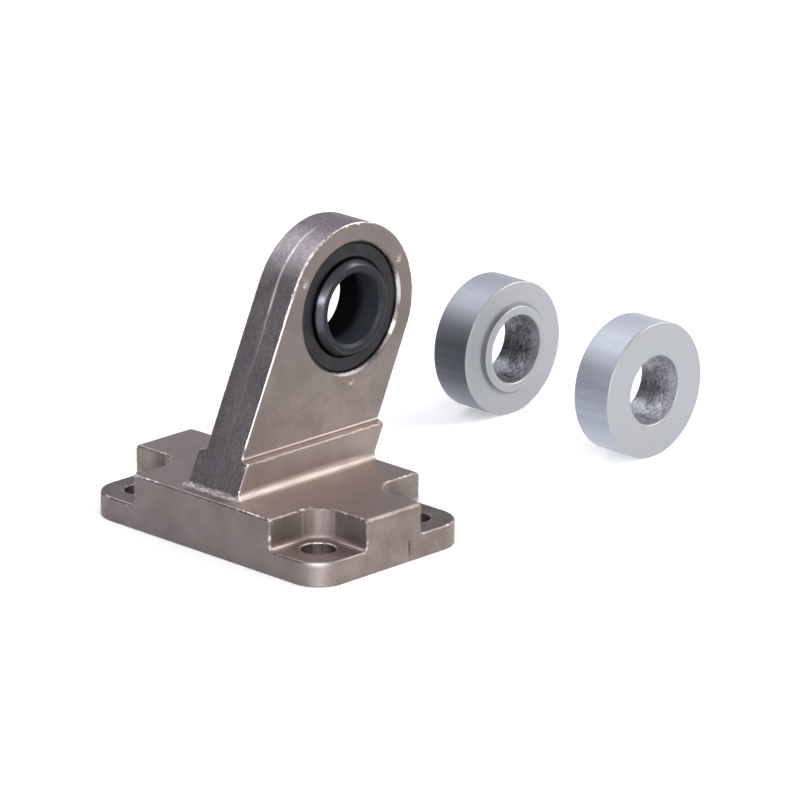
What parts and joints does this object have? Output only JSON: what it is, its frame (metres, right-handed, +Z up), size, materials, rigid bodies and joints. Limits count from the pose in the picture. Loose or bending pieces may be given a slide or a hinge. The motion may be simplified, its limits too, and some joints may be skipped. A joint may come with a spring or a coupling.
{
  "type": "spherical clevis foot",
  "caption": "Cast mounting foot with a leaning arm whose eye holds a swivelling spherical bearing for a clevis pin, with loose spacer rings.",
  "frame": {"origin": "on the mounting face, at the centre of the four screw holes", "axes": "+Z up from the mounting face, +Y along the pin bore to the back, +X the way the arm leans"},
  "size_m": [0.1014, 0.054, 0.0505],
  "materials": {
    "cast_steel": "blasted casting, satin grey-brown",
    "bearing_steel": "phosphated black, satin",
    "turned_aluminium": "fine turned, bare"
  },
  "bodies": {
    "foot": {"foot_bracket": "cast_steel", "bearing_outer_ring": "bearing_steel", "spacer_ring_front": "turned_aluminium", "spacer_ring_back": "turned_aluminium"},
    "ball": {"bearing_ball": "bearing_steel"}
  },
  "joints": [
    {"name": "ball_tilt", "type": "hinge", "parent": "foot", "child": "ball", "pos_m": [0.013, 0, 0.036], "axis": [1, 0, 0], "range_deg": [-10, 10]}
  ]
}
